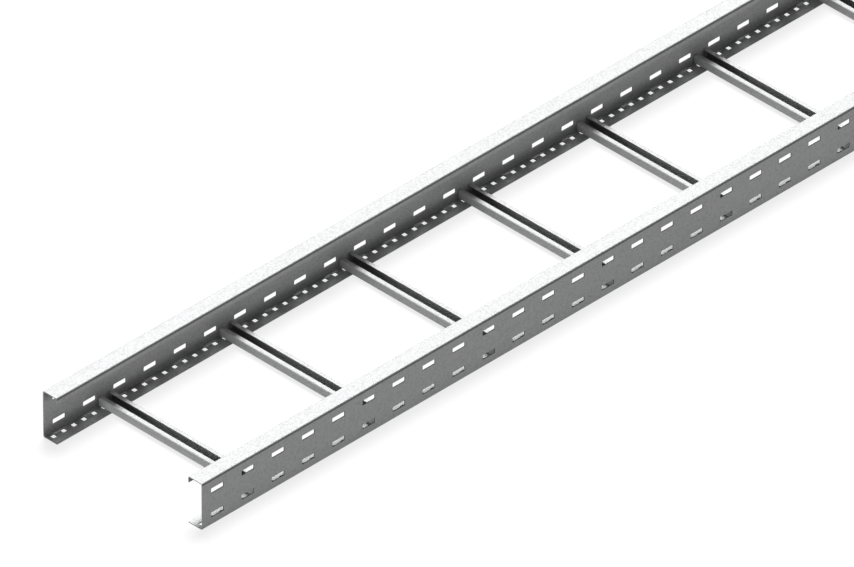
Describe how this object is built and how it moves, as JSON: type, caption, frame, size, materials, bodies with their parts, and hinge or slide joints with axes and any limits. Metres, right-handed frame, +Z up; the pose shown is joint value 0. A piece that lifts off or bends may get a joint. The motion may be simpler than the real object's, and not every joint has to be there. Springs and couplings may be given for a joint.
{
  "type": "cable ladder section",
  "caption": "Straight cable ladder section of galvanised sheet steel: slotted side rails folded to inward-facing channels, joined by upward-open channel rungs.",
  "frame": {"origin": "centre of the section's footprint, on the plane of the undersides of the side rails", "axes": "+X along the side rails, +Y across the ladder from the front rail to the back rail, +Z up"},
  "size_m": [3, 0.4, 0.1],
  "materials": {
    "galvanised_steel": "plain hot-dip galvanised sheet, satin, light neutral grey"
  },
  "bodies": {
    "root": {"side_rail_front": "galvanised_steel", "side_rail_back": "galvanised_steel", "rung_01": "galvanised_steel", "rung_02": "galvanised_steel", "rung_03": "galvanised_steel", "rung_04": "galvanised_steel", "rung_05": "galvanised_steel", "rung_06": "galvanised_steel", "rung_07": "galvanised_steel", "rung_08": "galvanised_steel", "rung_09": "galvanised_steel", "rung_10": "galvanised_steel"}
  },
  "joints": []
}
